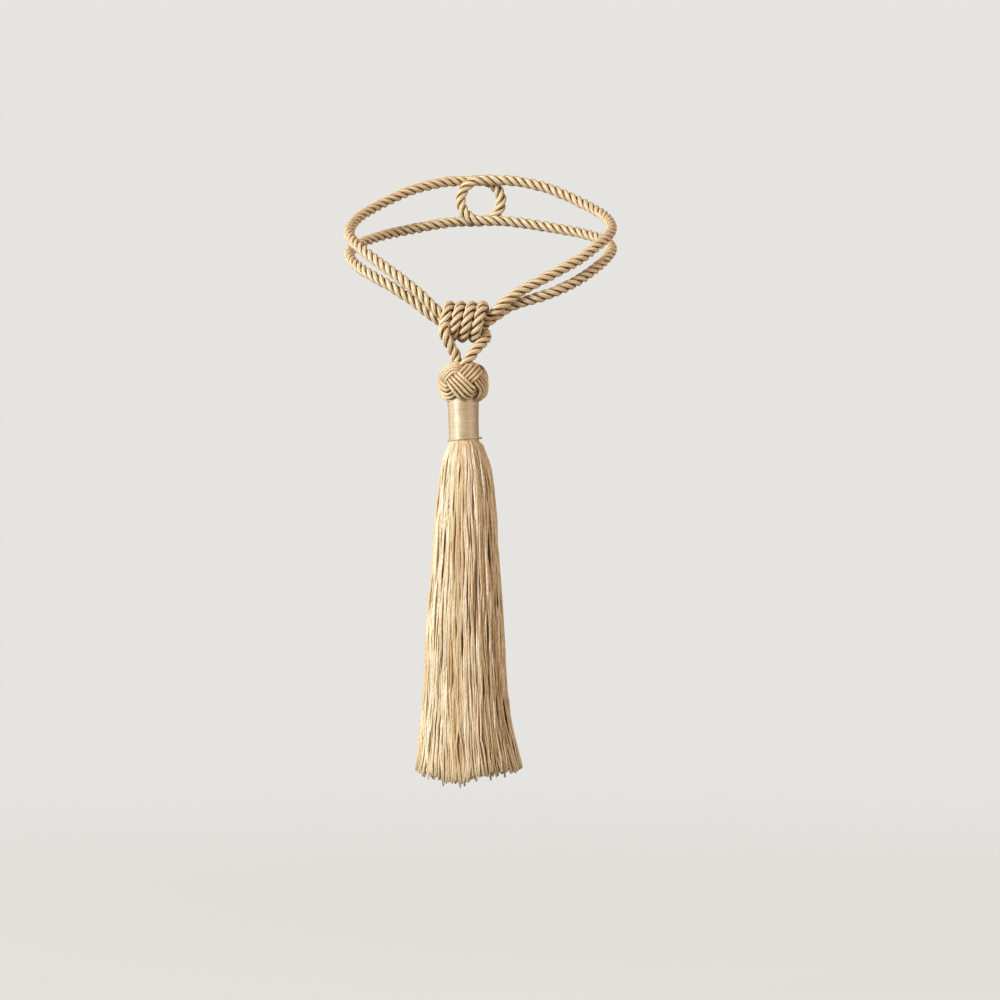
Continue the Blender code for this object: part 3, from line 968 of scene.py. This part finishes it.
def wound_grooves(tree, count, along):
    """Grooves wound on a tube, 1 in them and 0 between.

    So many lie side by side round it, turned by as many of their widths as along says.
    """
    place = add(tree, "UVMap", uv_map="UVMap")
    parts = add(tree, "SeparateXYZ", {"Vector": place.outputs["UV"]})
    turns = add(
        tree, "Math", {0: parts.outputs["Y"], 1: count, 2: along}, operation="MULTIPLY_ADD"
    )
    angle = add(tree, "Math", {0: turns.outputs[0], 1: 2 * math.pi}, operation="MULTIPLY")
    wave = add(tree, "Math", {0: angle.outputs[0]}, operation="SINE")
    share = add(tree, "MapRange", {"Value": wave.outputs[0], "From Min": -1.0})
    return share.outputs["Result"]


def uneven_patches(tree, size, most, stretch=(1, 1, 1)):
    """Soft patches about this large, as a number from 0 to most."""
    place = add(tree, "TexCoord")
    scaled = add(
        tree, "VectorMath", {0: place.outputs["Object"], 1: stretch}, operation="MULTIPLY"
    )
    noise = add(
        tree, "TexNoise", {"Vector": scaled.outputs[0], "Scale": 1 / size, "Detail": 2.0}
    )
    spread = add(
        tree,
        "MapRange",
        {
            "Value": noise.outputs["Fac"],
            "From Min": PATCH_NOISE[0],
            "From Max": PATCH_NOISE[1],
            "To Max": most,
        },
    )
    return spread.outputs["Result"]


def rope_material():
    """Rayon rope, laid in three strands: silky, with painted shade in its grooves and between its
    yarns, and a painted highlight on its crowns.
    """
    material, tree, shader = new_material("rayon rope, three strands laid")
    reach = add(tree, "Attribute", attribute_name="reach")
    groove = add(tree, "Attribute", attribute_name="groove")
    # painted shade deepening into the grooves between the strands, and a painted highlight on their
    # crowns
    crowns = add(
        tree,
        "ValToRGB",
        {"Fac": reach.outputs["Fac"]},
        stops=(
            (0.47, "#180B03"),
            (0.65, "#5E3E1C"),
            (0.77, "#D2BA94"),
            (0.88, "#F6ECD8"),
            (1.0, "#FFFDF6"),
        ),
    )
    yarns = wound_grooves(tree, round(2 * math.pi * STRAND_RADIUS / YARN_WIDTH), 0.0)
    tones = (
        # painted shade in the lines between the yarns, which the bump also sinks
        (yarns, "#F2EADA"),
        # painted shade in the grooves between each strand's ridges
        (groove.outputs["Fac"], "#D6C29E"),
        (uneven_patches(tree, ROPE_PATCH, 0.6), "#ECDEC2"),
    )
    colour = lay_tones(tree, crowns.outputs["Color"], tones)
    tree.links.new(colour, shader.inputs["Base Color"])
    bump = add(tree, "Bump", {"Height": yarns, "Strength": 0.35, "Distance": -YARN_DEPTH})
    tree.links.new(bump.outputs["Normal"], shader.inputs["Normal"])
    set_shader(
        shader, Roughness=0.36, Sheen_Weight=0.15, Sheen_Roughness=0.4, Sheen_Tint=linear(SHEEN)
    )
    return material


def knot_material():
    """Gimp cord, silk wound over a core: smooth, with a narrow shine, painted shade in its gaps and
    under crossing bands, and a painted highlight on its highest cords.
    """
    material, tree, shader = new_material("gimp cord, silk wound over a core")
    reach = add(tree, "Attribute", attribute_name="reach")
    # painted shade on cords that lie low, in the gaps and under crossing bands, and a painted
    # highlight on the highest
    crowns = add(
        tree,
        "ValToRGB",
        {"Fac": reach.outputs["Fac"]},
        stops=((0.12, "#341C0C"), (0.42, "#BCA27E"), (1.0, "#E8DABE")),
    )
    place = add(tree, "UVMap", uv_map="UVMap")
    parts = add(tree, "SeparateXYZ", {"Vector": place.outputs["UV"]})
    turns = 2 * math.pi * KNOT_LEADS * CORE_RADIUS / SILK_PITCH
    along = add(tree, "Math", {0: parts.outputs["X"], 1: turns}, operation="MULTIPLY")
    silk = wound_grooves(tree, 1, along.outputs[0])
    tones = (
        # painted shade in the lines between the silk's turns, which the bump also sinks
        (silk, "#F8F0E4"),
        (uneven_patches(tree, KNOT_PATCH, 0.7), "#E2CCA8"),
    )
    colour = lay_tones(tree, crowns.outputs["Color"], tones)
    tree.links.new(colour, shader.inputs["Base Color"])
    bump = add(tree, "Bump", {"Height": silk, "Strength": 0.15, "Distance": -SILK_DEPTH})
    tree.links.new(bump.outputs["Normal"], shader.inputs["Normal"])
    set_shader(shader, Roughness=0.36, Sheen_Weight=0.15, Sheen_Tint=linear(SHEEN))
    return material


def core_material():
    """Cotton yarn, wound on a wooden ball: matt, in flat turns, and as dark as the cords in shade,
    which paints shade where it shows between the bands.
    """
    material, tree, shader = new_material("cotton yarn, wound, dark as in shade")
    yarn = uneven_patches(tree, CORE_PATCH, 1.0, CORE_STRETCH)
    # painted shade: the core is as dark as the cords are in shade, where it shows between the bands
    colour = add(tree, "ValToRGB", {"Fac": yarn}, stops=((0.0, "#402610"), (1.0, "#6A4422")))
    tree.links.new(colour.outputs["Color"], shader.inputs["Base Color"])
    bump = add(tree, "Bump", {"Height": yarn, "Strength": 0.5, "Distance": CORE_DEPTH})
    tree.links.new(bump.outputs["Normal"], shader.inputs["Normal"])
    set_shader(shader, Roughness=0.8)
    return material


def neck_material():
    """Satin rayon thread, wound tight: a broad bright upright highlight across its turns."""
    material, tree, shader = new_material("satin rayon thread, wound tight")
    turns = uneven_patches(tree, NECK_TURNS, 1.0, NECK_STRETCH)
    satin = add(tree, "ValToRGB", {"Fac": turns}, stops=((0.0, "#B8A276"), (1.0, "#D2C098")))
    tones = ((uneven_patches(tree, NECK_PATCH, 0.5), "#DCC8A2"),)
    colour = lay_tones(tree, satin.outputs["Color"], tones)
    tree.links.new(colour, shader.inputs["Base Color"])
    set_shader(
        shader,
        Roughness=0.44,
        Specular_IOR_Level=1.0,
        Coat_Weight=1.0,
        Coat_Roughness=0.46,
        Coat_IOR=2.2,
    )
    return material


def skirt_material():
    """Rayon thread, two-ply and cut: silky and uneven in tone, with painted shade between its plies
    and on the threads further in, and painted light at its cut ends.
    """
    material, tree, shader = new_material("rayon thread, cut and hung loose")
    tone = add(tree, "Attribute", attribute_name="tone")
    depth = add(tree, "Attribute", attribute_name="depth")
    down = add(tree, "Attribute", attribute_name="down")
    thread = add(
        tree,
        "ValToRGB",
        {"Fac": tone.outputs["Fac"]},
        stops=((0.1, "#C4AC84"), (0.35, "#DCC8A2"), (0.6, "#F0E4CA"), (0.85, "#FFFCF2")),
    )
    # Each thread's plies begin at a place of their own, by its tone.
    place = add(tree, "TexCoord")
    parts = add(tree, "SeparateXYZ", {"Vector": place.outputs["Object"]})
    start = add(tree, "Math", {0: tone.outputs["Fac"], 1: PLY_STARTS}, operation="MULTIPLY")
    along = add(
        tree,
        "Math",
        {0: parts.outputs["Z"], 1: 1 / PLY_PITCH, 2: start.outputs[0]},
        operation="MULTIPLY_ADD",
    )
    plies = wound_grooves(tree, 2, along.outputs[0])
    # painted shade on the threads further in, darker the deeper they lie
    painted_shade = add(tree, "MapRange", {"Value": depth.outputs["Fac"], "From Min": PAINTED_SHADE_FROM})
    tones = (
        # painted shade in the lines between each thread's two plies, which the bump also sinks
        (plies, "#EFE5D2"),
        (uneven_patches(tree, SKIRT_PATCH, 0.8, SKIRT_STRETCH), "#E4D2B2"),
        # painted shade: threads further in are darkened towards brown
        (painted_shade.outputs["Result"], "#8C5822"),
    )
    colour = lay_tones(tree, thread.outputs["Color"], tones)
    # painted light: each thread turns towards cream near its cut end, where the hem gets little
    # light
    cut = add(
        tree, "MapRange", {"Value": down.outputs["Fac"], "From Min": HEM_LIGHT_FROM, "To Max": HEM_LIGHT_MOST}
    )
    pale = add(
        tree,
        "Mix",
        {MIX_FACTOR: cut.outputs["Result"], MIX_FROM: colour, MIX_TO: linear("#FFE9C2")},
        data_type="RGBA",
    )
    tree.links.new(pale.outputs[MIXED], shader.inputs["Base Color"])
    bump = add(tree, "Bump", {"Height": plies, "Strength": 0.3, "Distance": -PLY_DEPTH})
    tree.links.new(bump.outputs["Normal"], shader.inputs["Normal"])
    set_shader(shader, Roughness=0.36, Sheen_Weight=0.1, Sheen_Tint=linear(SHEEN))
    return material


# --- the room, its lights and the camera ---


def make_room():
    """A pale room: what lights the object is dimmer than what the camera sees round it."""
    world = bpy.data.worlds.new("pale room")
    bpy.context.scene.world = world
    world.use_nodes = True
    tree = world.node_tree
    seen = tree.nodes["Background"]
    seen.inputs["Color"].default_value = linear(ROOM_COLOUR)
    lit = add(tree, "Background", {"Color": linear(ROOM_LIGHT), "Strength": ROOM_STRENGTH})
    ray = add(tree, "LightPath")
    mix = add(tree, "MixShader", {"Fac": ray.outputs["Is Camera Ray"]})
    tree.links.new(lit.outputs["Background"], mix.inputs[1])
    tree.links.new(seen.outputs["Background"], mix.inputs[2])
    tree.links.new(mix.outputs["Shader"], tree.nodes["World Output"].inputs["Surface"])


def board_material():
    """Matt board, painted: an even pale floor that fades into the room away from its middle."""
    material, tree, shader = new_material("matt board, painted")
    set_shader(shader, Base_Color=linear(BOARD_COLOUR), Roughness=BOARD_ROUGHNESS)
    place = add(tree, "TexCoord")
    away = add(tree, "VectorMath", {0: place.outputs["Object"]}, operation="LENGTH")
    fade = add(
        tree,
        "MapRange",
        {
            "Value": away.outputs["Value"],
            "From Min": FADE_START,
            "From Max": FADE_END,
            "To Min": FLOOR_GLOW,
        },
    )
    ray = add(tree, "LightPath")
    strength = add(
        tree, "MapRange", {"Value": ray.outputs["Is Camera Ray"], "To Min": ROOM_STRENGTH}
    )
    glow = add(
        tree, "Emission", {"Color": linear(ROOM_COLOUR), "Strength": strength.outputs["Result"]}
    )
    mix = add(tree, "MixShader", {"Fac": fade.outputs["Result"]})
    tree.links.new(shader.outputs["BSDF"], mix.inputs[1])
    tree.links.new(glow.outputs["Emission"], mix.inputs[2])
    tree.links.new(mix.outputs["Shader"], tree.nodes["Material Output"].inputs["Surface"])
    return material


def make_floor(material):
    """The plain pale floor, well under the hem."""
    bm = bmesh.new()
    bmesh.ops.create_grid(bm, x_segments=1, y_segments=1, size=FLOOR_HALF)
    bmesh.ops.translate(bm, verts=bm.verts, vec=(0, 0, FLOOR_Z))
    mesh = bpy.data.meshes.new("floor")
    bm.to_mesh(mesh)
    bm.free()
    add_object("floor", mesh, material)


def add_light(name, place, size, power, colour):
    data = bpy.data.lights.new(name, "AREA")
    data.shape = "DISK"
    data.size = size
    data.energy = power
    data.color = linear(colour)[:3]
    light = add_object(name, data)
    light.location = place
    light.rotation_euler = (LIGHT_AIM - Vector(place)).to_track_quat("-Z", "Y").to_euler()


def make_camera():
    data = bpy.data.cameras.new("camera")
    data.sensor_width = SENSOR_WIDTH_MM
    data.lens = SENSOR_WIDTH_MM * CAMERA_AWAY / FRAME_WIDTH
    camera = add_object("camera", data)
    camera.location = (CAMERA_X, MIDDLE_Y - CAMERA_AWAY, CAMERA_Z)
    camera.rotation_euler = (math.pi / 2, 0, 0)
    bpy.context.scene.camera = camera


# --- the scene ---

make_camera()
bpy.context.scene.view_settings.view_transform = "Standard"

rope = rope_material()
ring, ring_path = make_rope("ring_rope_strands", ring_route(), True, rope)
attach(ring, "root")
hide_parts("ring_rope")
hanger, hanger_path = make_rope("coil_rope_strands", hanger_route(), False, rope)
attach(hanger, "root")
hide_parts("coil_rope")
knot = make_knot(knot_material())
core = make_core(core_material())
for piece in (knot, core):
    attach(piece, "root")
    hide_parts("knot_ball")
satin = neck_material()
for piece in (make_neck(satin), make_heading(satin)):
    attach(piece, "root")
    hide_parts("bound_neck")
for piece in make_skirt(skirt_material()):
    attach(piece, "root")
    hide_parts("thread_skirt")

make_room()
make_floor(board_material())
for light in LIGHTS:
    add_light(*light)
